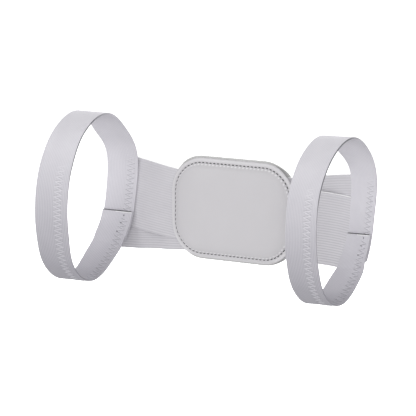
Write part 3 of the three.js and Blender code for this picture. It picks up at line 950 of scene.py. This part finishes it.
def leatherette(name, colour, shade):
    """Polyurethane leatherette: a satin film embossed with a fine grain, faintly mottled.

    A painted highlight makes it paler over the flange and on the puckers. A real grain of about half a
    millimetre is too fine to show, so it is drawn twice as coarse.
    """
    material = new_material(name)
    place = add_node(material, "ShaderNodeTexCoord").outputs["Object"]
    mottle = add_node(
        material, "ShaderNodeTexNoise", {"Vector": place}, scale=1 / FILM_MOTTLE_SIZE, detail=3.0
    )
    tone = add_node(
        material, "ShaderNodeMix", {"Factor": mottle}, data_type="RGBA", a=linear(shade), b=linear(colour)
    )
    # A painted highlight pales the film over the flange and the puckers.
    highlight_share = add_node(material, "ShaderNodeAttribute", attribute_name="painted_highlight_share").outputs["Fac"]
    tone = add_node(
        material, "ShaderNodeMix", {"Factor": highlight_share, "A": tone}, data_type="RGBA", b=linear("#f6f5f7")
    )
    grain = add_node(
        material, "ShaderNodeTexVoronoi", {"Vector": place}, feature="SMOOTH_F1", scale=1 / GRAIN_SIZE
    )
    swell = add_node(material, "ShaderNodeTexNoise", {"Vector": place}, scale=1 / FILM_SWELL_SIZE, detail=2.0)
    relief = add_node(material, "ShaderNodeMix", {"A": grain.outputs["Distance"], "B": swell}, factor=0.55)
    bump = add_node(material, "ShaderNodeBump", {"Height": relief}, strength=0.25, distance=0.2 * MM)
    shader = add_node(
        material, "ShaderNodeBsdfPrincipled", {"Base Color": tone, "Normal": bump},
        roughness=0.52, ior=1.5, specular_ior_level=0.4,
    )
    add_node(material, "ShaderNodeOutputMaterial", {"Surface": shader})
    return material


pad_leatherette = leatherette("polyurethane_leatherette", "#d0ced1", "#cccacd")
edge_leatherette = leatherette("polyurethane_leatherette_backing", "#cbcbca", "#c6c6c5")

edge_turn = np.linspace(0, np.pi, EDGE_POINTS)[1:]
edge_inset = EDGE_ROUNDING * (1 - np.sin(edge_turn))
face_inset = ring_insets(FRONT_FACE_RINGS)
front_inset = np.concatenate([face_inset, edge_inset, INNER_INSETS])
front_rings = np.concatenate([
    front_depth(face_inset),
    FRONT_FLANGE + FRONT_EDGE_THICKNESS / 2 * (1 - np.cos(edge_turn)),
    np.full(len(INNER_INSETS), FRONT_THICKNESS),
])
swollen_inset = np.concatenate([face_inset, edge_inset, np.full(len(INNER_INSETS), DEEPEST_INSET)])
pad_face = pad_layer(
    "pad_face", "pad_front", front_inset, front_rings, closes_at(front_inset), 0.0,
    pad_leatherette, puckers(swollen_inset),
)

back_face_inset = ring_insets(BACK_FACE_RINGS) - BACK_LIP
back_fall = np.exp(-np.maximum(back_face_inset - SEAM_INSET, 0) / CROWN_REACH)
back_face_depth = BACK_DEPTH + BACK_THICKNESS - (BACK_THICKNESS - BACK_EDGE_THICKNESS) * back_fall
back_face_depth -= GROOVE_DEPTH / 2 * np.exp(-((back_face_inset - SEAM_INSET) / GROOVE_HALF_WIDTH) ** 2)
back_inset = np.concatenate([back_face_inset, edge_inset - BACK_LIP, INNER_INSETS])[::-1]
back_rings = np.concatenate([
    back_face_depth,
    BACK_FLANGE - BACK_EDGE_THICKNESS / 2 * (1 - np.cos(edge_turn)),
    np.full(len(INNER_INSETS), BACK_DEPTH),
])[::-1]
no_swell = np.zeros((len(back_inset), len(seam_run()[0])))
pad_rear = pad_layer(
    "pad_rear", "pad_back", back_inset, back_rings, -closes_at(back_inset), BACK_SHIFT,
    edge_leatherette, no_swell,
)


# The pad's seam: dark grey polyester lockstitch through both layers, sunk in the groove, with a
# short second run where the seam ends are sewn over each other at the lower right corner.
STITCH_LENGTH = 2.7 * MM
STITCH_HALF_WIDTH = 0.6 * MM
STITCH_STEPS = 7
STITCH_DIP = 0.3 * MM
STITCH_PROUD_SHARE = 0.6
STITCH_HEIGHT_SHARE = 0.8
OVERSEWN_INSET = 1.5 * MM
OVERSEWN_STITCHES = 3
OVERSEWN_START = 0.885


def seam_places(inset, distance):
    """Places on the outline at an inset, at distances along it from its right-hand corner."""
    outline = pad_outline([inset])[0]
    closed = np.concatenate([outline, outline[:1]])
    run = np.concatenate([[0.0], np.cumsum(np.linalg.norm(np.diff(closed, axis=0), axis=1))])
    wrapped = np.mod(distance, run[-1])
    places = np.stack([np.interp(wrapped, run, column) for column in closed.T], -1)
    return places, run[-1]


def stitches(inset, starts, depth, closes, facing_y):
    """Stitches from their starts: a run along the seam whose ends dip in by the cube of their share."""
    t = np.linspace(0, 1, STITCH_STEPS)
    distance = starts[:, None] + t * STITCH_LENGTH
    places, _ = seam_places(inset, distance.ravel())
    z = places[:, 1].reshape(distance.shape)
    dip = STITCH_DIP * np.abs(2 * t - 1) ** 3
    proud = STITCH_HALF_WIDTH * STITCH_PROUD_SHARE - dip
    y = depth + closes * CLOSING_TRAVEL * closing(z) + facing_y * proud
    points = np.stack([places[:, 0].reshape(distance.shape), y, z], -1)
    facing = np.zeros(points.shape)
    facing[..., 1] = facing_y
    return thread_runs(points, facing, STITCH_HALF_WIDTH, STITCH_HALF_WIDTH * STITCH_HEIGHT_SHARE, sides=8)


_, seam_length = seam_places(SEAM_INSET, np.zeros(1))
seam_stitches = round(seam_length / STITCH_PITCH)
seam_starts = np.arange(seam_stitches) * seam_length / seam_stitches
oversewn_starts = seam_length * OVERSEWN_START + np.arange(OVERSEWN_STITCHES) * STITCH_PITCH
front_seam_depth = float(front_depth(np.array([SEAM_INSET]))[0])
oversewn_depth = float(front_depth(np.array([SEAM_INSET + OVERSEWN_INSET]))[0])
front_stitches = joined([
    stitches(SEAM_INSET, seam_starts, front_seam_depth, 1, -1),
    stitches(SEAM_INSET + OVERSEWN_INSET, oversewn_starts, oversewn_depth, 1, -1),
])
new_piece("pad_front_stitches", *front_stitches, sewing_thread, "thread")
rear_seam_depth = BACK_FLANGE - GROOVE_DEPTH / 2
rear_stitches = joined([stitches(SEAM_INSET, seam_starts, rear_seam_depth, -1, 1)])
new_piece("pad_rear_stitches", *rear_stitches, sewing_thread, "thread")
